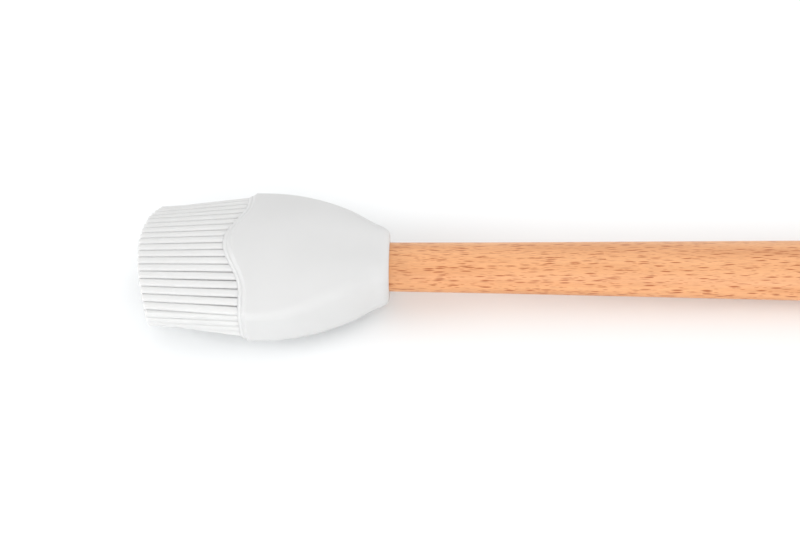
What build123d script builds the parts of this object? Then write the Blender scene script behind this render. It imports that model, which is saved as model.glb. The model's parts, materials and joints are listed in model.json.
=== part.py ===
from build123d import *
from math import asin, cos, pi, sin
import os

# Pastry brush: a beech handle and a white silicone head that pulls off it.
# Everything is built along X with the joint between collar and handle at x = 0
# and the brush's axis at z = 0. "Ahead" is a distance from that joint towards
# the bristle tips, along -X. At the end each piece moves to the part's origin,
# under the middle of the whole brush. Millimetres.

# Overall
HANDLE_LENGTH = 200.0
BRISTLE_TIP_AHEAD = 67.9
AXIS_HEIGHT = 11.66
OVERLAP = 1.0  # how far solids that join or cut run into each other

# Handle, an oval that swells towards the rear: x, half-width, half-thickness
HANDLE_STATIONS = (
    (-2.9, 7.25, 5.60),
    (30.0, 7.60, 5.88),
    (70.0, 8.20, 6.34),
    (111.0, 8.83, 6.82),
    (150.0, 9.35, 7.20),
    (180.0, 9.40, 7.24),
    (HANDLE_LENGTH, 8.80, 6.80),
)
HANDLE_END_ROUNDING = 5.0
TENON_RADIUS = 4.5
TENON_TIP_AHEAD = 27.0
TENON_CHAMFER = 0.8
HANG_HOLE_RADIUS = 3.0
HANG_HOLE_X = 186.0
HANG_HOLE_EDGE = 0.6

# Collar, from a small oval round the handle to a wide crowned lip:
# distance ahead, half-width, half-thickness at the sides and in the middle, corner radius
COLLAR_STATIONS = (
    (0.0, 8.9, 3.0, 8.3, 2.5),
    (3.0, 10.75, 3.7, 9.1, 2.6),
    (7.1, 13.6, 4.5, 9.8, 2.8),
    (13.0, 17.0, 5.0, 10.4, 3.0),
    (22.0, 20.1, 5.3, 11.0, 3.0),
    (32.0, 21.7, 5.4, 11.4, 3.0),
    (45.5, 22.1, 5.4, 11.66, 3.0),
)
COLLAR_END_ROUNDING = 1.6
SIDE_WALL = 1.5
FACE_WALL = 0.85
CORNER_WALL = 0.2
CAVITY_CORNER = 1.8
MOUTH_CLEARANCE = 0.3
MOUTH_ROUNDING = 0.7
LIP_AHEAD_AT_SIDES = 38.8
LIP_TONGUE = 5.1
LIP_TONGUE_SPAN = 0.736
LIP_POINTS = 8

# Stiff core inside the collar
CORE_REAR_AHEAD = 3.1
CORE_FRONT_AHEAD = 30.3
CORE_PLATE = 2.6
CORE_CLEARANCE = 0.15
SOCKET_CLEARANCE = 0.06
SOCKET_END_AHEAD = 27.4
SOCKET_TUBE_RADIUS = 7.0
WEB_THICKNESS = 2.4

# Bristles: each piece is a band with round bristles standing on it
BAND_REAR_AHEAD = 30.5
BAND_FRONT_AHEAD = 37.5
ROOT_DEPTH = 1.5
TIP_ARCH = 3.65
TIP_ARCH_HALF_WIDTH = 19.2
TIP_ROUNDING = 0.55

# node: bristle count, root and tip radius, then outlines as half-width,
# half-thickness at the sides and half-thickness in the middle
BRISTLE_PIECES = {
    "outer_bristle_crown": {
        "count": 42, "root_radius": 0.95, "tip_radius": 0.92,
        "roots": (18.70, 4.30, 9.25), "tips": (18.30, 1.60, 8.30),
        "band": (19.80, 4.95, 10.35), "band_hole": (17.55, 3.65, 8.10),
    },
    "second_bristle_crown": {
        "count": 32, "root_radius": 0.80, "tip_radius": 0.70,
        "roots": (16.25, 2.90, 6.80), "tips": (15.20, 1.25, 6.05),
        "band": (17.35, 3.55, 7.90), "band_hole": (15.15, 2.20, 5.70),
    },
    "third_bristle_crown": {
        "count": 26, "root_radius": 0.80, "tip_radius": 0.70,
        "roots": (13.80, 1.60, 4.45), "tips": (11.80, 1.20, 3.85),
        "band": (14.95, 2.05, 5.50), "band_hole": (12.70, 1.00, 3.30),
    },
    "centre_bristle_block": {
        "count": 14, "root_radius": 0.75, "tip_radius": 0.62,
        "roots": (8.60, 0.90, 1.80), "tips": (8.00, 0.95, 1.65),
        "band": (12.45, 0.95, 3.10), "band_hole": None,
    },
}
BAND_CORNER = 0.5


def across(ahead, y=0.0, z=0.0):
    """Plane square to the brush's axis, facing the bristle tips."""
    return Plane(origin=(-ahead, y, z), x_dir=(0, -1, 0), z_dir=(-1, 0, 0))


def crowned_face(ahead, half_width, side, middle, corner):
    """Section with a shallow arc above and below and short rounded sides."""
    above = ThreePointArc((-half_width, side), (0, middle), (half_width, side))
    right = Line((half_width, side), (half_width, -side))
    below = ThreePointArc((half_width, -side), (0, -middle), (-half_width, -side))
    left = Line((-half_width, -side), (-half_width, side))
    outline = make_face(above + right + below + left)
    return across(ahead) * fillet(outline.vertices(), corner)


def oval_face(x, half_width, half_thickness):
    return across(-x) * Ellipse(half_width, half_thickness)


def extruded(face, length):
    return extrude(face, amount=length)


def inner_stations(clearance):
    """The collar's stations moved in by its wall, less a clearance."""
    stations = []
    for ahead, half_width, side, middle, _ in COLLAR_STATIONS[1:]:
        inner_width = half_width - SIDE_WALL - clearance
        inner_side = side - CORNER_WALL - clearance
        inner_middle = middle - FACE_WALL - clearance
        stations.append((ahead, inner_width, inner_side, inner_middle, CAVITY_CORNER))
    return stations


def lip_line():
    """The wavy front edge seen from above, from one side to the other."""
    half = COLLAR_STATIONS[-1][1]
    reach = half * LIP_TONGUE_SPAN
    points = []
    for step in range(-LIP_POINTS, LIP_POINTS + 1):
        turn = step / LIP_POINTS
        forward = LIP_TONGUE * 0.5 * (1 + cos(pi * turn))
        points.append((-LIP_AHEAD_AT_SIDES - forward, reach * turn))
    return points


def in_front_of_lip():
    """Block that trims the collar to its wavy lip."""
    points = lip_line()
    half = 2 * COLLAR_STATIONS[-1][1]
    front = -LIP_AHEAD_AT_SIDES - 4 * LIP_TONGUE
    wave = Spline(*points, tangents=((0, 1), (0, 1)))
    outline = Polyline(
        points[-1],
        (-LIP_AHEAD_AT_SIDES, half),
        (front, half),
        (front, -half),
        (-LIP_AHEAD_AT_SIDES, -half),
        points[0],
    )
    face = make_face(wave + outline)
    return extrude(face, amount=half, both=True)


def collar():
    outside = loft([crowned_face(*station) for station in COLLAR_STATIONS])
    rear_edges = outside.faces().sort_by(Axis.X)[-1].edges()
    outside = fillet(rear_edges, COLLAR_END_ROUNDING)
    cavity = loft([crowned_face(*station) for station in inner_stations(0.0)])
    x, half_width, half_thickness = HANDLE_STATIONS[0]
    mouth = oval_face(0, half_width + MOUTH_CLEARANCE, half_thickness + MOUTH_CLEARANCE)
    sleeve = outside - cavity - extruded(mouth, COLLAR_STATIONS[1][0] + OVERLAP)
    mouth_edge = sleeve.edges().filter_by(GeomType.ELLIPSE).sort_by(Axis.X)[-1]
    sleeve = fillet(mouth_edge, MOUTH_ROUNDING)
    return sleeve - in_front_of_lip()


def handle():
    grip = loft([oval_face(*station) for station in HANDLE_STATIONS])
    rear_edges = grip.faces().sort_by(Axis.X)[-1].edges()
    grip = fillet(rear_edges, HANDLE_END_ROUNDING)
    tenon_length = TENON_TIP_AHEAD + HANDLE_STATIONS[0][0] + OVERLAP
    tenon = extruded(across(-HANDLE_STATIONS[0][0] - OVERLAP) * Circle(TENON_RADIUS), tenon_length)
    tenon = chamfer(tenon.edges().sort_by(Axis.X)[0], TENON_CHAMFER)
    hole = Pos(HANG_HOLE_X, 0, 0) * Cylinder(HANG_HOLE_RADIUS, 4 * HANDLE_STATIONS[-1][2])
    body = grip + tenon - hole
    near_hole = (HANG_HOLE_X - 1.1 * HANG_HOLE_RADIUS, HANG_HOLE_X + 1.1 * HANG_HOLE_RADIUS)
    rims = body.edges().filter_by_position(Axis.X, *near_hole).filter_by(GeomType.LINE, reverse=True)
    return fillet(rims, HANG_HOLE_EDGE)


def socket_core():
    """Moulded frame: a tube for the tenon, cross webs and a plate for the bristles."""
    stations = inner_stations(CORE_CLEARANCE)
    envelope = loft([crowned_face(*station) for station in stations])
    length = CORE_FRONT_AHEAD - CORE_REAR_AHEAD
    tube = extruded(across(CORE_REAR_AHEAD) * Circle(SOCKET_TUBE_RADIUS), length)
    plate_rear = CORE_FRONT_AHEAD - CORE_PLATE
    wide = 2 * COLLAR_STATIONS[-1][1]
    plate = extruded(across(plate_rear) * Rectangle(wide, wide), CORE_PLATE)
    flat_web = extruded(across(CORE_REAR_AHEAD) * Rectangle(wide, WEB_THICKNESS), length)
    upright_web = extruded(across(CORE_REAR_AHEAD) * Rectangle(WEB_THICKNESS, wide), length)
    frame = (tube + flat_web + upright_web + plate) & envelope
    socket_radius = TENON_RADIUS + SOCKET_CLEARANCE
    socket_length = SOCKET_END_AHEAD - CORE_REAR_AHEAD + OVERLAP
    socket = extruded(across(CORE_REAR_AHEAD - OVERLAP) * Circle(socket_radius), socket_length)
    return frame - socket


def outline_point(fraction, half_width, side, middle):
    """Point on a crowned outline; fraction 0 is the middle of the upper arc."""
    rise = middle - side
    radius = (half_width**2 + rise**2) / (2 * rise)
    arc = radius * asin(half_width / radius)
    quarter = arc + side
    right = 1 if fraction <= 0.5 else -1
    along = min(fraction, 1 - fraction) * 4 * quarter
    upper = 1 if along <= quarter else -1
    along = min(along, 2 * quarter - along)
    if along > arc:
        return right * half_width, upper * (side - (along - arc))
    turn = along / radius
    return right * radius * sin(turn), upper * (middle - radius * (1 - cos(turn)))


def bristle(fraction, piece):
    """One tapered bristle; its tip lies on the arched end of the brush."""
    root_y, root_z = outline_point(fraction, *piece["roots"])
    tip_y, tip_z = outline_point(fraction, *piece["tips"])
    tip_ahead = BRISTLE_TIP_AHEAD - TIP_ARCH * (tip_y / TIP_ARCH_HALF_WIDTH) ** 2
    root = across(BAND_FRONT_AHEAD - ROOT_DEPTH, root_y, root_z) * Circle(piece["root_radius"])
    tip = across(tip_ahead, tip_y, tip_z) * Circle(piece["tip_radius"])
    stem = loft([root, tip])
    return fillet(stem.edges().sort_by(Axis.X)[0], TIP_ROUNDING)


def bristle_piece(piece):
    length = BAND_FRONT_AHEAD - BAND_REAR_AHEAD
    band = extruded(crowned_face(BAND_REAR_AHEAD, *piece["band"], BAND_CORNER), length)
    if piece["band_hole"]:
        hole = crowned_face(BAND_REAR_AHEAD, *piece["band_hole"], BAND_CORNER)
        band = band - extruded(hole, length)
    count = piece["count"]
    bristles = [bristle((number + 0.5) / count, piece) for number in range(count)]
    return band + bristles


pieces = {
    "handle": handle(),
    "collar": collar(),
    "socket_core": socket_core(),
}
for node, piece in BRISTLE_PIECES.items():
    pieces[node] = bristle_piece(piece)

joint_x = (BRISTLE_TIP_AHEAD - HANDLE_LENGTH) / 2
os.makedirs("parts", exist_ok=True)
for node, shape in pieces.items():
    export_step(Pos(joint_x, 0, AXIS_HEIGHT) * shape, f"parts/{node}.step")
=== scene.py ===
import json
import math
import random

import bmesh
import bpy
from mathutils import Matrix, Vector


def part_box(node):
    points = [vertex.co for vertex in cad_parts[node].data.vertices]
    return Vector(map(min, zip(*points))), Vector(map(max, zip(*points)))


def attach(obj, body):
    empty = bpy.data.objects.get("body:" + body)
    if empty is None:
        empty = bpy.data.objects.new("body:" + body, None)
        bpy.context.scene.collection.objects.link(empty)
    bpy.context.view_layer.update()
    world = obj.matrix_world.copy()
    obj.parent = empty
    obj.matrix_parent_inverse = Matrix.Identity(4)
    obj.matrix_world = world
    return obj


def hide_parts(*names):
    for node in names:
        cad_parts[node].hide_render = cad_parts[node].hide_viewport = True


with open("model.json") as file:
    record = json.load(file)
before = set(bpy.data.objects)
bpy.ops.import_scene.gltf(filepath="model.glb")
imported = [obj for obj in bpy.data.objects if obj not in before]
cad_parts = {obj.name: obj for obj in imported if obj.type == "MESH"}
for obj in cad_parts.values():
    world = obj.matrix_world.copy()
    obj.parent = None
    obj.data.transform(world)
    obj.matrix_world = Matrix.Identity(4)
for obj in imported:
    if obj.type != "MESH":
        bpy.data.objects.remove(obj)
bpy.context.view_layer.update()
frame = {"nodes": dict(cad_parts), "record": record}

MM = 0.001
RNG = random.Random(41)

# ---------------------------------------------------------------- the frame
# Shapes are worked out in millimetres: "ahead" is the distance in front of the
# collar's end face towards the bristle tips, y is across and z up from the
# brush's axis.
JOINT_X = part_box("collar")[1][0]
HANDLE_LOW, HANDLE_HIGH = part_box("handle")
AXIS_Z = (HANDLE_LOW[2] + HANDLE_HIGH[2]) / 2
HANDLE_LENGTH = (HANDLE_HIGH[0] - JOINT_X) / MM
TENON_TIP = (JOINT_X - HANDLE_LOW[0]) / MM
HOLE = next(m for m in frame["record"]["mounts"] if m["name"] == "hanging_hole")
HOLE_AHEAD = -(HOLE["pos_m"][0] - JOINT_X) / MM
HOLE_RADIUS = HOLE["dims"]["r_mm"]


def place(ahead, y, z):
    return (JOINT_X - ahead * MM, y * MM, AXIS_Z + z * MM)


# ---------------------------------------------------------------- sections
# distance ahead, half-width, half-thickness at sides and middle, corner radius
COLLAR = (
    (0, 9.5, 8.0, 8.4, 5.0),
    (3.2, 10.3, 8.1, 8.8, 4.9),
    (6.0, 11.8, 8.0, 9.2, 4.5),
    (10.0, 14.3, 7.9, 9.6, 4.0),
    (15.5, 17.0, 7.7, 10.3, 4.0),
    (21.0, 19.5, 6.7, 10.8, 4.0),
    (26.5, 21.2, 5.9, 11.15, 3.6),
    (32.0, 21.95, 5.5, 11.4, 3.2),
    (45.0, 22.12, 5.4, 11.64, 3.1),
)
# distance ahead, how far two soft shoulders stand up either side of the middle
SHOULDERS = (
    (0.0, 0.15), (3.2, 0.30), (6.0, 0.38), (10.0, 0.38),
    (15.5, 0.30), (21.0, 0.20), (32.0, 0.05), (45.0, 0.0),
)
# the wavy lip: its reach at the sides, how much further the tongue in the
# middle reaches, the share of the half-width it takes up, the bevel's length
LIP_SIDES = 38.8
LIP_TONGUE = 5.1
LIP_SPAN = 0.736
LIP_BEVEL = 1.45
# how far the inside is from the outside: half-width, side, middle and corner
WALL = (1.5, 0.2, 0.85)
CAVITY_CORNER_INSET = 1.6
# the end at the handle: length and depth of its rounding, half-axes of its mouth
END_ROUNDING = 3.3
END_INSET = 1.75
MOUTH = (7.4, 5.75)
MOUTH_ROUNDING = 0.3
MOUTH_DEPTH = 3.0

# rows and columns of the collar's mesh
COLLAR_COLUMNS = 192
END_ROWS = (0.0, 0.06, 0.2, 0.42, 0.72, 1.1, 1.5, 2.0, 2.6, END_ROUNDING)
OUTSIDE_ROWS = 60
INSIDE_ROWS = 18
MOUTH_ROWS = (MOUTH_DEPTH, MOUTH_DEPTH - 0.2, 1.8, MOUTH_ROUNDING)
MOUTH_ROUNDING_ROWS = 6
# share of the bevel's length, share of the way from the outside to the inside
BEVEL_ROWS = (
    (0.02, 0.004), (0.05, 0.03), (0.10, 0.09), (0.3, 0.3), (0.5, 0.51), (0.7, 0.71),
    (0.9, 0.91), (0.98, 0.97), (1.0, 1.0), (0.97, 1.02), (0.5, 1.02),
)
INSIDE_START = 0.3

# distance behind the joint, half-width, half-thickness
HANDLE = (
    (-2.9, 7.25, 5.60),
    (30.0, 7.60, 5.88),
    (70.0, 8.20, 6.34),
    (111.0, 8.83, 6.82),
    (150.0, 9.35, 7.20),
    (180.0, 9.40, 7.24),
    (HANDLE_LENGTH, 8.80, 6.80),
)

# a quarter of a crowned section: shares of u at which its arc and corner end
ARC_END = 0.62
CORNER_END = 0.88


def interpolate(stations, at):
    """Smooth curve through the stations' values, at one distance."""
    xs = [s[0] for s in stations]
    at = min(max(at, xs[0]), xs[-1])
    i = max(k for k in range(len(xs) - 1) if xs[k] <= at)
    h = xs[i + 1] - xs[i]
    t = (at - xs[i]) / h
    out = []
    for c in range(1, len(stations[0])):
        def slope(k):
            lo, hi = max(k - 1, 0), min(k + 1, len(xs) - 1)
            return (stations[hi][c] - stations[lo][c]) / (xs[hi] - xs[lo])
        p0, p1 = stations[i][c], stations[i + 1][c]
        m0, m1 = slope(i) * h, slope(i + 1) * h
        out.append((2 * t**3 - 3 * t**2 + 1) * p0 + (t**3 - 2 * t**2 + t) * m0
                   + (3 * t**2 - 2 * t**3) * p1 + (t**3 - t**2) * m1)
    return out


def crowned(u, width, side, middle, corner):
    """Point u (0 to 1, from the top middle) of a crowned section."""
    f = u % 1.0
    right = 1 if f <= 0.5 else -1
    f = min(f, 1 - f) * 4
    upper = 1 if f <= 1 else -1
    q = f if f <= 1 else 2 - f
    rise = middle - side
    radius = (width**2 + rise**2) / (2 * rise)
    base = middle - radius
    corner_z = base + math.sqrt((radius - corner) ** 2 - (width - corner) ** 2)
    turn = math.atan2(width - corner, corner_z - base)
    if q < ARC_END:
        a = turn * q / ARC_END
        y, z = radius * math.sin(a), base + radius * math.cos(a)
    elif q < CORNER_END:
        a = turn + (math.pi / 2 - turn) * (q - ARC_END) / (CORNER_END - ARC_END)
        y, z = width - corner + corner * math.sin(a), corner_z + corner * math.cos(a)
    else:
        y, z = width, corner_z * (1 - (q - CORNER_END) / (1 - CORNER_END))
    return right * y, upper * z


def mesh_object(name, verts, faces, material, smooth=True):
    mesh = bpy.data.meshes.new(name)
    mesh.from_pydata(verts, [], faces)
    mesh.update()
    bm = bmesh.new()
    bm.from_mesh(mesh)
    bmesh.ops.recalc_face_normals(bm, faces=bm.faces)
    bm.to_mesh(mesh)
    bm.free()
    for polygon in mesh.polygons:
        polygon.use_smooth = smooth
    mesh.materials.append(material)
    obj = bpy.data.objects.new(name, mesh)
    bpy.context.scene.collection.objects.link(obj)
    return obj


# ---------------------------------------------------------------- materials
def new_material(name):
    material = bpy.data.materials.new(name)
    material.use_nodes = True
    tree = material.node_tree
    tree.nodes.clear()
    out = tree.nodes.new("ShaderNodeOutputMaterial")
    shader = tree.nodes.new("ShaderNodeBsdfPrincipled")
    tree.links.new(shader.outputs["BSDF"], out.inputs["Surface"])
    return material, tree, shader


def coordinates(tree, scale):
    coord = tree.nodes.new("ShaderNodeTexCoord")
    mapping = tree.nodes.new("ShaderNodeMapping")
    mapping.inputs["Scale"].default_value = scale
    tree.links.new(coord.outputs["Object"], mapping.inputs["Vector"])
    return mapping.outputs["Vector"]


def noise(tree, vector, scale, detail=3.0, roughness=0.5, distortion=0.0):
    node = tree.nodes.new("ShaderNodeTexNoise")
    node.inputs["Scale"].default_value = scale
    node.inputs["Detail"].default_value = detail
    node.inputs["Roughness"].default_value = roughness
    node.inputs["Distortion"].default_value = distortion
    tree.links.new(vector, node.inputs["Vector"])
    return node.outputs["Fac"]


def ramp(tree, value, stops):
    node = tree.nodes.new("ShaderNodeValToRGB")
    elements = node.color_ramp.elements
    while len(elements) < len(stops):
        elements.new(0.5)
    for element, (position, colour) in zip(elements, stops):
        element.position = position
        element.color = (*colour, 1)
    tree.links.new(value, node.inputs["Fac"])
    return node.outputs["Color"]


def grey(tree, value, stops):
    return ramp(tree, value, [(p, (g, g, g)) for p, g in stops])


def math_node(tree, operation, a, b):
    node = tree.nodes.new("ShaderNodeMath")
    node.operation = operation
    for socket, value in zip(node.inputs, (a, b)):
        if isinstance(value, (int, float)):
            socket.default_value = value
        else:
            tree.links.new(value, socket)
    return node.outputs["Value"]


def mix(tree, factor, a, b, blend="MIX"):
    node = tree.nodes.new("ShaderNodeMix")
    node.data_type = "RGBA"
    node.blend_type = blend
    for name, value in (("Factor", factor), ("A", a), ("B", b)):
        socket = node.inputs[name]
        if isinstance(value, (int, float)):
            socket.default_value = value
        elif isinstance(value, tuple):
            socket.default_value = (*value, 1)
        else:
            tree.links.new(value, socket)
    return node.outputs["Result"]


def add_bump(tree, shader, height, strength, distance):
    bump = tree.nodes.new("ShaderNodeBump")
    bump.inputs["Strength"].default_value = strength
    bump.inputs["Distance"].default_value = distance
    tree.links.new(height, bump.inputs["Height"])
    tree.links.new(bump.outputs["Normal"], shader.inputs["Normal"])


# how far the grain wanders sideways, in metres
GRAIN_WOBBLE = 0.0016


def rays(tree, cell, size, tilt):
    """Ellipsoids of the given half-size scattered one to a cell, tilted to the grain."""
    wobble = noise(tree, coordinates(tree, (0.3, 1, 1)), 90, 1)
    coord = tree.nodes.new("ShaderNodeTexCoord")
    lift = tree.nodes.new("ShaderNodeVectorMath")
    lift.operation = "MULTIPLY"
    lift.inputs[1].default_value = (0, GRAIN_WOBBLE, 0)
    tree.links.new(wobble, lift.inputs[0])
    moved = tree.nodes.new("ShaderNodeVectorMath")
    moved.operation = "ADD"
    tree.links.new(coord.outputs["Object"], moved.inputs[0])
    tree.links.new(lift.outputs["Vector"], moved.inputs[1])
    mapping = tree.nodes.new("ShaderNodeMapping")
    mapping.inputs["Scale"].default_value = [1 / c for c in cell]
    mapping.inputs["Rotation"].default_value = (0, 0, tilt)
    tree.links.new(moved.outputs["Vector"], mapping.inputs["Vector"])
    cells = tree.nodes.new("ShaderNodeTexVoronoi")
    cells.inputs["Scale"].default_value = 1.0
    tree.links.new(mapping.outputs["Vector"], cells.inputs["Vector"])
    offset = tree.nodes.new("ShaderNodeVectorMath")
    offset.operation = "SUBTRACT"
    tree.links.new(mapping.outputs["Vector"], offset.inputs[0])
    tree.links.new(cells.outputs["Position"], offset.inputs[1])
    shape = tree.nodes.new("ShaderNodeVectorMath")
    shape.operation = "MULTIPLY"
    shape.inputs[1].default_value = [c / s for c, s in zip(cell, size)]
    tree.links.new(offset.outputs["Vector"], shape.inputs[0])
    length = tree.nodes.new("ShaderNodeVectorMath")
    length.operation = "LENGTH"
    tree.links.new(shape.outputs["Vector"], length.inputs[0])
    spot = grey(tree, length.outputs["Value"], [(0.45, 1.0), (1.0, 0.0)])
    separate = tree.nodes.new("ShaderNodeSeparateColor")
    tree.links.new(cells.outputs["Color"], separate.inputs["Color"])
    chosen = grey(tree, separate.outputs["Red"], [(0.0, 0.0), (0.5, 1.0)])
    return math_node(tree, "MULTIPLY", spot, chosen)


def beech():
    """Beech: pale pinkish tan, soft long grain and short dark ray flecks."""
    material, tree, shader = new_material("oiled_beech")
    stretched = coordinates(tree, (0.045, 1, 1))
    tone = noise(tree, stretched, 260, 4, 0.55, 0.4)
    colour = ramp(tree, tone, [(0.30, (0.63, 0.291, 0.127)),
                               (0.50, (0.718, 0.351, 0.163)),
                               (0.72, (0.776, 0.405, 0.20))])
    broad = noise(tree, coordinates(tree, (0.12, 1, 1)), 60, 2, 0.5)
    colour = mix(tree, 0.5, colour, grey(tree, broad, [(0.35, 0.86), (0.65, 1.0)]), "MULTIPLY")
    # rays: short dark dashes along the grain, as flat ellipsoids in the wood
    large = rays(tree, (0.0037, 0.00066, 0.00080), (0.00195, 0.00018, 0.00032), -0.035)
    small = rays(tree, (0.0020, 0.00048, 0.00060), (0.00090, 0.00011, 0.00021), -0.025)
    colour = mix(tree, math_node(tree, "MULTIPLY", large, 0.95), colour, (0.34, 0.085, 0.021))
    colour = mix(tree, math_node(tree, "MULTIPLY", small, 0.70), colour, (0.42, 0.13, 0.04))
    flecks = math_node(tree, "MAXIMUM", large, math_node(tree, "MULTIPLY", small, 0.6))
    pores = noise(tree, coordinates(tree, (0.10, 1, 1)), 3600, 2, 0.6)
    colour = mix(tree, 0.5, colour, grey(tree, pores, [(0.36, 0.82), (0.58, 1.0)]), "MULTIPLY")
    tree.links.new(colour, shader.inputs["Base Color"])
    tree.links.new(grey(tree, tone, [(0.3, 0.52), (0.7, 0.42)]), shader.inputs["Roughness"])
    shader.inputs["Specular IOR Level"].default_value = 0.35
    height = math_node(tree, "SUBTRACT", pores, math_node(tree, "MULTIPLY", flecks, 0.6))
    add_bump(tree, shader, height, 0.25, 0.00012)
    return material


def silicone(name, base, shade, subsurface):
    """Matte white silicone, very slightly translucent, with faint mottling."""
    material, tree, shader = new_material(name)
    vector = coordinates(tree, (1, 1, 1))
    cloud = noise(tree, vector, 90, 3, 0.55)
    colour = ramp(tree, cloud, [(0.35, shade), (0.65, base)])
    tree.links.new(colour, shader.inputs["Base Color"])
    grain = noise(tree, vector, 2400, 3, 0.6)
    tree.links.new(grey(tree, grain, [(0.3, 0.50), (0.7, 0.60)]), shader.inputs["Roughness"])
    shader.inputs["Specular IOR Level"].default_value = 0.35
    shader.inputs["Subsurface Weight"].default_value = subsurface
    shader.inputs["Subsurface Radius"].default_value = (1.0, 0.95, 0.9)
    shader.inputs["Subsurface Scale"].default_value = 0.0012
    add_bump(tree, shader, grain, 0.12, 0.00005)
    return material


def nylon():
    """Off-white moulded plastic, satin, for the hidden frame."""
    material, tree, shader = new_material("moulded_nylon")
    vector = coordinates(tree, (1, 1, 1))
    cloud = noise(tree, vector, 140, 3, 0.5)
    tree.links.new(ramp(tree, cloud, [(0.3, (0.60, 0.60, 0.57)), (0.7, (0.70, 0.70, 0.67))]),
                   shader.inputs["Base Color"])
    grain = noise(tree, vector, 3000, 2, 0.6)
    tree.links.new(grey(tree, grain, [(0.3, 0.42), (0.7, 0.55)]), shader.inputs["Roughness"])
    add_bump(tree, shader, grain, 0.2, 0.00004)
    return material


BEECH = beech()
COLLAR_SILICONE = silicone(
    "collar_silicone", (0.584, 0.584, 0.582), (0.575, 0.575, 0.573), 0.12)
BRISTLE_SILICONE = silicone(
    "bristle_silicone", (0.62, 0.62, 0.617), (0.605, 0.605, 0.602), 0.4)
NYLON = nylon()


# ---------------------------------------------------------------- collar
def inner_section(ahead):
    """Half-sizes and corner of the collar's hollow, at one distance."""
    width, side, middle, corner = interpolate(COLLAR, ahead)
    return width - WALL[0], side - WALL[1], middle - WALL[2], corner - CAVITY_CORNER_INSET


def outer_point(u, ahead, inset=0.0):
    """Point of the collar's outside, with its two soft shoulders."""
    width, side, middle, corner = interpolate(COLLAR, ahead)
    y, z = crowned(u, width - inset, side - inset, middle - inset, corner - inset)
    height = interpolate(SHOULDERS, ahead)[0]
    lift = height * math.sin(math.pi * min(abs(y) / width, 1)) ** 2
    return y, z + math.copysign(lift, z) * min(1.0, abs(z) / side)


def blend_sections(a, b, t):
    return [p + (q - p) * t for p, q in zip(a, b)]


def lip_ahead(u):
    """How far ahead the wavy lip reaches on column u."""
    section = interpolate(COLLAR, LIP_SIDES)
    reach = abs(crowned(u, *section)[0]) / section[0] / LIP_SPAN
    return LIP_SIDES + LIP_TONGUE * 0.5 * (1 + math.cos(math.pi * min(reach, 1.0)))


def collar_column(u):
    """One closed run forward along the outside, round the lip and back inside."""
    rim = lip_ahead(u) - LIP_BEVEL
    run = []
    # outside, from the rounded end to the start of the bevel
    for ahead in END_ROWS:
        edge = max(0.0, 1 - ahead / END_ROUNDING)
        inset = END_INSET * (1 - math.sqrt(1 - edge**2))
        run.append((ahead, *outer_point(u, ahead, inset)))
    for k in range(1, OUTSIDE_ROWS + 1):
        ahead = END_ROUNDING + (rim - END_ROUNDING) * k / OUTSIDE_ROWS
        run.append((ahead, *outer_point(u, ahead)))
    # the bevelled lip, crisp along its upper edge, and back under its front
    outer = outer_point(u, rim)
    inner = crowned(u, *inner_section(rim))
    for along, drop in BEVEL_ROWS:
        run.append((rim + LIP_BEVEL * along, outer[0] + (inner[0] - outer[0]) * drop,
                    outer[1] + (inner[1] - outer[1]) * drop))
    # inside
    for k in range(1, INSIDE_ROWS + 1):
        ahead = rim + (MOUTH_DEPTH + INSIDE_START - rim) * k / INSIDE_ROWS
        run.append((ahead, *crowned(u, *inner_section(ahead))))
    # inner face of the rear wall, then the mouth and the end face
    y_end, z_end = crowned(u, *interpolate(COLLAR, 0.0))
    angle = math.atan2(z_end / MOUTH[1], y_end / MOUTH[0])

    def oval(grow):
        return (MOUTH[0] + grow) * math.cos(angle), (MOUTH[1] + grow) * math.sin(angle)

    y_in, z_in = run[-1][1:]
    y_mouth, z_mouth = oval(0.0)
    for t in (0.15, 0.5, 0.85):
        run.append((MOUTH_DEPTH, y_in + (y_mouth - y_in) * t, z_in + (z_mouth - z_in) * t))
    for ahead in MOUTH_ROWS:
        run.append((ahead, y_mouth, z_mouth))
    for k in range(1, MOUTH_ROUNDING_ROWS + 1):
        a = math.pi / 2 * k / MOUTH_ROUNDING_ROWS
        run.append((MOUTH_ROUNDING * (1 - math.sin(a)),
                    *oval(MOUTH_ROUNDING * (1 - math.cos(a)))))
    y0, z0 = run[-1][1:]
    y1, z1 = run[0][1:]
    for t in (0.3, 0.6, 0.85):
        run.append((0.0, y0 + (y1 - y0) * t, z0 + (z1 - z0) * t))
    return run


def make_collar():
    around = COLLAR_COLUMNS
    columns = [collar_column((k + 0.5) / around) for k in range(around)]
    rows = len(columns[0])
    verts = [place(*point) for column in columns for point in column]
    faces = []
    for c in range(around):
        n = (c + 1) % around
        for r in range(rows):
            s = (r + 1) % rows
            faces.append((c * rows + r, c * rows + s, n * rows + s, n * rows + r))
    return mesh_object("collar_sleeve", verts, faces, COLLAR_SILICONE)


collar = make_collar()
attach(collar, "head")
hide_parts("collar")


# ---------------------------------------------------------------- bristles
# the bands that the bristles stand on, and the arch that the tips lie on
BAND_REAR = 30.5
BAND_FRONT = 37.5
BAND_CORNER = 0.5
BAND_COLUMNS = 96
TIP_AHEAD = 67.9
TIP_ARCH = 3.65
TIP_HALF_WIDTH = 19.2
# how unequal the bristles are: length and sideways sway
LENGTH_SPREAD = 0.25
SWAY = 0.04
# how far a bristle starts inside its band, and its rounded tip
ROOT_DEPTH = 0.6
TIP_ROUNDING = 0.6
TIP_FLAT = 0.35
BRISTLE_ROWS = 14
TIP_ROWS = 5
# thickness over width, and the section's power: 2 is an ellipse, 3 a soft square
THICKNESS = 0.90
OUTER_SIDES, OUTER_POWER = 24, 3.0
INNER_SIDES, INNER_POWER = 14, 2.0
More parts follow.
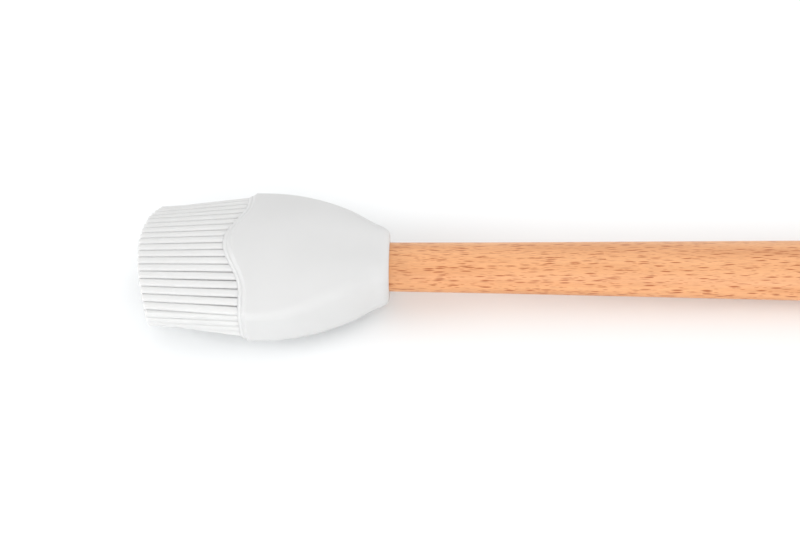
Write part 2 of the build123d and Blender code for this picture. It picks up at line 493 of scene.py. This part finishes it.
# the skin between the outer bristles' roots
WEB_COLUMNS = 192
WEB_PAST_LIP = 0.85
WEB_DEPTH = 0.9
WEB_CORNER = 1.4
# node: count, root and tip radius, root outline, tip outline, band, band hole
CROWNS = {
    "outer_bristle_crown": (42, 1.12, 1.06, (19.40, 4.75, 9.70), (18.30, 1.60, 8.30),
                            (19.80, 4.95, 10.35), (17.55, 3.65, 8.10)),
    "second_bristle_crown": (32, 0.80, 0.70, (16.25, 2.90, 6.80), (15.20, 1.25, 6.05),
                             (17.35, 3.55, 7.90), (15.15, 2.20, 5.70)),
    "third_bristle_crown": (26, 0.80, 0.70, (13.80, 1.60, 4.45), (11.80, 1.20, 3.85),
                            (14.95, 2.05, 5.50), (12.70, 1.00, 3.30)),
    "centre_bristle_block": (14, 0.75, 0.62, (8.60, 0.90, 1.80), (8.00, 0.95, 1.65),
                             (12.45, 0.95, 3.10), None),
}


def outline_frame(fraction, width, side, middle):
    """Point and outward normal at an even distance along a crowned outline."""
    rise = middle - side
    radius = (width**2 + rise**2) / (2 * rise)
    arc = radius * math.asin(width / radius)
    quarter = arc + side
    right = 1 if fraction <= 0.5 else -1
    along = min(fraction, 1 - fraction) * 4 * quarter
    upper = 1 if along <= quarter else -1
    along = min(along, 2 * quarter - along)
    if along > arc:
        return Vector((right * width, upper * (side - (along - arc)))), Vector((right, 0))
    turn = along / radius
    point = Vector((right * radius * math.sin(turn),
                    upper * (middle - radius * (1 - math.cos(turn)))))
    return point, Vector((right * math.sin(turn), upper * math.cos(turn)))


def bristle_mesh(fraction, root_radius, tip_radius, roots, tips, sides, verts, faces, power):
    """One tapered bristle with a rounded tip; its section is round or a soft square."""
    root, normal = outline_frame(fraction, *roots)
    tip, _ = outline_frame(fraction, *tips)
    across = Vector((-normal[1], normal[0]))
    arch = TIP_ARCH * (tip[0] / TIP_HALF_WIDTH) ** 2
    tip_ahead = TIP_AHEAD - arch - RNG.uniform(0.0, LENGTH_SPREAD)
    sway = Vector((RNG.gauss(0, SWAY), RNG.gauss(0, SWAY)))
    start = len(verts)
    root_ahead = BAND_FRONT - ROOT_DEPTH
    length = tip_ahead - root_ahead
    rings = []
    for k in range(BRISTLE_ROWS + 1):
        t = k / BRISTLE_ROWS * (1 - TIP_ROUNDING / length)
        rings.append((root_ahead + length * t, root_radius + (tip_radius - root_radius) * t, t))
    for k in range(1, TIP_ROWS + 1):
        a = math.pi / 2 * k / (TIP_ROWS + 1)
        t = 1 - TIP_ROUNDING * (1 - math.sin(a)) / length
        radius = tip_radius * (TIP_FLAT + (1 - TIP_FLAT) * math.cos(a))
        rings.append((root_ahead + length * t, radius, t))
    for ahead, radius, t in rings:
        centre = root.lerp(tip, t) + sway * math.sin(math.pi * t)
        for s in range(sides):
            a = 2 * math.pi * s / sides
            c, d = math.cos(a), math.sin(a)
            out = radius / (abs(c) ** power + abs(d) ** power) ** (1 / power)
            point = centre + across * (out * c) + normal * (THICKNESS * out * d)
            verts.append(place(ahead, point[0], point[1]))
    for r in range(len(rings) - 1):
        for s in range(sides):
            n = (s + 1) % sides
            a = start + r * sides
            faces.append((a + s, a + n, a + sides + n, a + sides + s))
    faces.append(tuple(start + s for s in range(sides)))
    last = start + (len(rings) - 1) * sides
    verts.append(place(tip_ahead, tip[0], tip[1]))
    for s in range(sides):
        faces.append((last + s, last + (s + 1) % sides, len(verts) - 1))


def web_rows(front):
    """Distance ahead and inset of each row of the web whose front edge is given."""
    inner_front = 38.2
    return (
        (BAND_FRONT - 0.5, 0.0),
        (39.0 if front > 40.2 else inner_front, -0.2),
        (front - 1.1, -0.42),
        (front - 0.75, -0.40),
        (front - 0.45, -0.26),
        (front - 0.2, -0.06),
        (front - 0.04, 0.14),
        (front, 0.35),
        (front, WEB_DEPTH),
        (inner_front, WEB_DEPTH),
        (BAND_FRONT - 0.5, WEB_DEPTH),
    )


def web_mesh(radius, roots, tips, verts, faces):
    """Thin skin that joins the roots of the outer bristles just past the lip."""
    around = WEB_COLUMNS
    start = len(verts)
    rows = 0
    for k in range(around):
        u = (k + 0.5) / around
        run = []
        for ahead, inset in web_rows(lip_ahead(u) + WEB_PAST_LIP):
            t = (ahead - BAND_FRONT) / (TIP_AHEAD - BAND_FRONT)
            width, side, middle = blend_sections(roots, tips, t)
            grow = THICKNESS * radius - inset
            outline = (width + grow, side + 0.5 * grow, middle + grow, WEB_CORNER)
            run.append((ahead, *crowned(u, *outline)))
        rows = len(run)
        verts.extend(place(*point) for point in run)
    for c in range(around):
        n = (c + 1) % around
        for r in range(rows):
            s = (r + 1) % rows
            faces.append((start + c * rows + r, start + c * rows + s,
                          start + n * rows + s, start + n * rows + r))


def band_mesh(outer, hole, verts, faces):
    """The ring, or the solid block, that one crown of bristles stands on."""
    around = BAND_COLUMNS
    start = len(verts)
    if hole:
        outlines = ((BAND_REAR, hole), (BAND_REAR, outer), (BAND_FRONT, outer), (BAND_FRONT, hole))
    else:
        outlines = ((BAND_REAR, outer), (BAND_FRONT, outer))
    loops = [[place(ahead, *crowned((k + 0.5) / around, *outline, BAND_CORNER))
              for k in range(around)] for ahead, outline in outlines]
    for loop in loops:
        verts.extend(loop)
    pairs = len(loops) if hole else 1
    for p in range(pairs):
        q = (p + 1) % len(loops)
        for k in range(around):
            n = (k + 1) % around
            faces.append((start + p * around + k, start + p * around + n,
                          start + q * around + n, start + q * around + k))
    if not hole:
        faces.append(tuple(start + k for k in range(around)))
        faces.append(tuple(start + around + k for k in range(around)))


for node, (count, root_radius, tip_radius, roots, tips, band, hole) in CROWNS.items():
    verts, faces = [], []
    is_outer = node == "outer_bristle_crown"
    sides, power = (OUTER_SIDES, OUTER_POWER) if is_outer else (INNER_SIDES, INNER_POWER)
    for number in range(count):
        bristle_mesh((number + 0.5) / count, root_radius, tip_radius, roots, tips,
                     sides, verts, faces, power)
    if is_outer:
        web_mesh(root_radius, roots, tips, verts, faces)
    band_mesh(band, hole, verts, faces)
    crown = mesh_object(node + "_moulding", verts, faces, BRISTLE_SILICONE)
    crown.data.set_sharp_from_angle(angle=math.radians(50))
    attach(crown, "head")
    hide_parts(node)


# ---------------------------------------------------------------- handle
HANDLE_COLUMNS = 96
GRIP_START = HANDLE[0][0]
TENON_RADIUS = 4.5
TENON_CHAMFER = 0.8
TENON_ROWS = (-24, -18, -12, -7, -3.4, -3.05)
# the grip's front edge: the flat's inset, its rounding and where the sides begin
FRONT_INSET = 0.5
FRONT_ROUNDING = 0.4
SIDES_START = -2.2
GRIP_ROWS = 120
# the domed rear end: its length, its fullness and its rows
DOME = 7.0
DOME_POWER = 2.6
DOME_ROWS = 15


def handle_rings():
    """Distance behind the joint, half-width and half-thickness, from the tenon's tip."""
    tip = -TENON_TIP
    rings = [
        (tip, 0.6 * TENON_RADIUS, 0.6 * TENON_RADIUS),
        (tip, TENON_RADIUS - TENON_CHAMFER, TENON_RADIUS - TENON_CHAMFER),
        (tip + TENON_CHAMFER, TENON_RADIUS, TENON_RADIUS),
    ]
    rings += [(x, TENON_RADIUS, TENON_RADIUS) for x in TENON_ROWS]
    width, thick = HANDLE[0][1:]
    rings.append((GRIP_START, TENON_RADIUS + 0.15, TENON_RADIUS + 0.15))
    rings.append((GRIP_START, width - FRONT_INSET, thick - FRONT_INSET))
    for k in range(1, 5):
        a = math.pi / 2 * k / 4
        inset = FRONT_ROUNDING * (1 - math.sin(a))
        x = GRIP_START + FRONT_ROUNDING * (1 - math.cos(a))
        rings.append((x, width - inset, thick - inset))
    end = HANDLE_LENGTH - DOME
    for k in range(GRIP_ROWS + 1):
        x = SIDES_START + (end - SIDES_START) * k / GRIP_ROWS
        rings.append((x, *interpolate(HANDLE, x)))
    for k in range(1, DOME_ROWS):
        s = math.sin(math.pi / 2 * k / DOME_ROWS)
        x = end + DOME * s
        scale = (1 - s**DOME_POWER) ** (1 / DOME_POWER)
        width, thick = interpolate(HANDLE, x)
        rings.append((x, width * scale, thick * scale))
    return rings


def make_handle():
    around = HANDLE_COLUMNS
    rings = handle_rings()
    verts, faces = [], []
    for x, width, thick in rings:
        for k in range(around):
            a = 2 * math.pi * k / around
            verts.append(place(-x, width * math.cos(a), thick * math.sin(a)))
    for r in range(len(rings) - 1):
        for k in range(around):
            n = (k + 1) % around
            faces.append((r * around + k, r * around + n,
                          (r + 1) * around + n, (r + 1) * around + k))
    for ring, x in ((0, -TENON_TIP), (len(rings) - 1, HANDLE_LENGTH)):
        verts.append(place(-x, 0, 0))
        for k in range(around):
            faces.append((ring * around + k, ring * around + (k + 1) % around, len(verts) - 1))
    return mesh_object("beech_handle", verts, faces, BEECH)


HOLE_COLUMNS = 64
HOLE_FLARE = 0.9
HOLE_FLARE_ROWS = 8


def hole_cutter():
    """A spool shape: straight through, flaring where it meets the surface."""
    around = HOLE_COLUMNS
    _, thick = interpolate(HANDLE, -HOLE_AHEAD)
    profile = []
    for k in range(HOLE_FLARE_ROWS + 1):
        a = math.pi / 2 * k / HOLE_FLARE_ROWS
        height = thick - HOLE_FLARE + HOLE_FLARE * math.sin(a) + 0.02
        profile.append((height, HOLE_RADIUS + HOLE_FLARE * (1 - math.cos(a))))
    # the cutter's ends stand clear of the handle
    profile.append((thick + 3.0, HOLE_RADIUS + HOLE_FLARE + 0.3))
    full = [(-z, r) for z, r in reversed(profile)] + profile
    verts, faces = [], []
    for z, r in full:
        for k in range(around):
            a = 2 * math.pi * k / around
            verts.append(place(HOLE_AHEAD + r * math.cos(a), r * math.sin(a), z))
    for i in range(len(full) - 1):
        for k in range(around):
            n = (k + 1) % around
            faces.append((i * around + k, i * around + n,
                          (i + 1) * around + n, (i + 1) * around + k))
    faces.append(tuple(range(around)))
    faces.append(tuple((len(full) - 1) * around + k for k in range(around)))
    return mesh_object("hole_cutter", verts, faces, BEECH)


handle = make_handle()
cutter = hole_cutter()
cut = handle.modifiers.new("hanging_hole", "BOOLEAN")
cut.operation = "DIFFERENCE"
cut.solver = "EXACT"
cut.object = cutter
depsgraph = bpy.context.evaluated_depsgraph_get()
handle.data = bpy.data.meshes.new_from_object(handle.evaluated_get(depsgraph))
handle.modifiers.clear()
bpy.data.objects.remove(cutter)
for polygon in handle.data.polygons:
    polygon.use_smooth = True
handle.data.set_sharp_from_angle(angle=math.radians(40))
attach(handle, "handle")
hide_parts("handle")

# the core keeps its own shape and gets the nylon finish
core = frame["nodes"]["socket_core"]
core.data.materials.clear()
core.data.materials.append(NYLON)


# ---------------------------------------------------------------- floor
FLOOR_HALF = 3.0
FLOOR_GAP = 0.00015
# where the brush touches the floor, and the handle's half-thickness there
LIP_REST_AHEAD = 42
HANDLE_REST_BEHIND = 180
HANDLE_REST_THICKNESS = 7.24


def floor_material():
    material, tree, shader = new_material("pale_floor")
    vector = coordinates(tree, (1, 1, 1))
    cloud = noise(tree, vector, 3, 2)
    tone = ramp(tree, cloud, [(0.3, (0.858, 0.870, 0.876)), (0.7, (0.868, 0.880, 0.886))])
    tree.links.new(tone, shader.inputs["Base Color"])
    shader.inputs["Roughness"].default_value = 0.9
    shader.inputs["Specular IOR Level"].default_value = 0.1
    return material


# The brush rests on its lip and on the handle's far end. It stays level here,
# so the floor slopes instead.
rest_x = JOINT_X - LIP_REST_AHEAD * MM
end_x = JOINT_X + HANDLE_REST_BEHIND * MM
end_z = AXIS_Z - HANDLE_REST_THICKNESS * MM
slope = end_z / (end_x - rest_x)


def floor_z(x):
    return (x - rest_x) * slope - FLOOR_GAP


corners = [(x * FLOOR_HALF, y * FLOOR_HALF, floor_z(x * FLOOR_HALF))
           for x, y in ((-1, -1), (1, -1), (1, 1), (-1, 1))]
floor = mesh_object("floor", corners, [(0, 1, 2, 3)], floor_material(), smooth=False)

# ---------------------------------------------------------------- camera
# yaw, roll, height angle and distance; it looks at a point just behind the joint
AZIMUTH = math.radians(2.84)
ROLL = math.radians(-1.72)
ELEVATION = math.radians(51.26)
DISTANCE = 0.478
TARGET_AHEAD = -2.8
target = Vector(place(TARGET_AHEAD, 0, 0))
back = Vector((math.sin(AZIMUTH) * math.cos(ELEVATION),
               -math.cos(AZIMUTH) * math.cos(ELEVATION),
               math.sin(ELEVATION)))
camera_data = bpy.data.cameras.new("camera")
camera_data.sensor_width = 36
camera_data.lens = 78.9
camera_data.clip_start = 0.01
camera = bpy.data.objects.new("camera", camera_data)
camera.location = target + back * DISTANCE
facing = (-back).to_track_quat("-Z", "Y").to_matrix()
camera.rotation_euler = (facing @ Matrix.Rotation(ROLL, 3, "Z")).to_euler()
bpy.context.scene.collection.objects.link(camera)
bpy.context.scene.camera = camera


# ---------------------------------------------------------------- light
# name, place from the joint in metres, diameter and watts
LIGHTS = (
    ("near_softbox", (-0.1, -0.85, 0.85), 0.7, 1.0),
    ("left_softbox", (-1.0, -0.25, 0.4), 0.6, 4.6),
    ("low_softbox", (0.35, -1.0, 0.5), 0.7, 5.4),
    ("far_strip", (0.7, 0.8, 0.5), 0.5, 3.2),
)
WORLD_STRENGTH = 0.94


def area_light(name, offset, size, power):
    data = bpy.data.lights.new(name, "AREA")
    data.shape = "DISK"
    data.size = size
    data.energy = power
    light = bpy.data.objects.new(name, data)
    aim = Vector((JOINT_X, 0, AXIS_Z))
    light.location = aim + Vector(offset)
    light.rotation_euler = (aim - light.location).to_track_quat("-Z", "Y").to_euler()
    bpy.context.scene.collection.objects.link(light)


for light in LIGHTS:
    area_light(*light)

# a white cove all round, a little brighter overhead than at the horizon
world = bpy.data.worlds.new("studio")
world.use_nodes = True
sky = world.node_tree
background = sky.nodes["Background"]
direction = sky.nodes.new("ShaderNodeTexCoord")
parts = sky.nodes.new("ShaderNodeSeparateXYZ")
sky.links.new(direction.outputs["Generated"], parts.inputs["Vector"])
brightness = grey(sky, parts.outputs["Z"], [(0.0, 0.93), (0.5, 0.97), (1.0, 1.0)])
sky.links.new(brightness, background.inputs["Color"])
background.inputs["Strength"].default_value = WORLD_STRENGTH
bpy.context.scene.world = world
bpy.context.scene.view_settings.view_transform = "Standard"
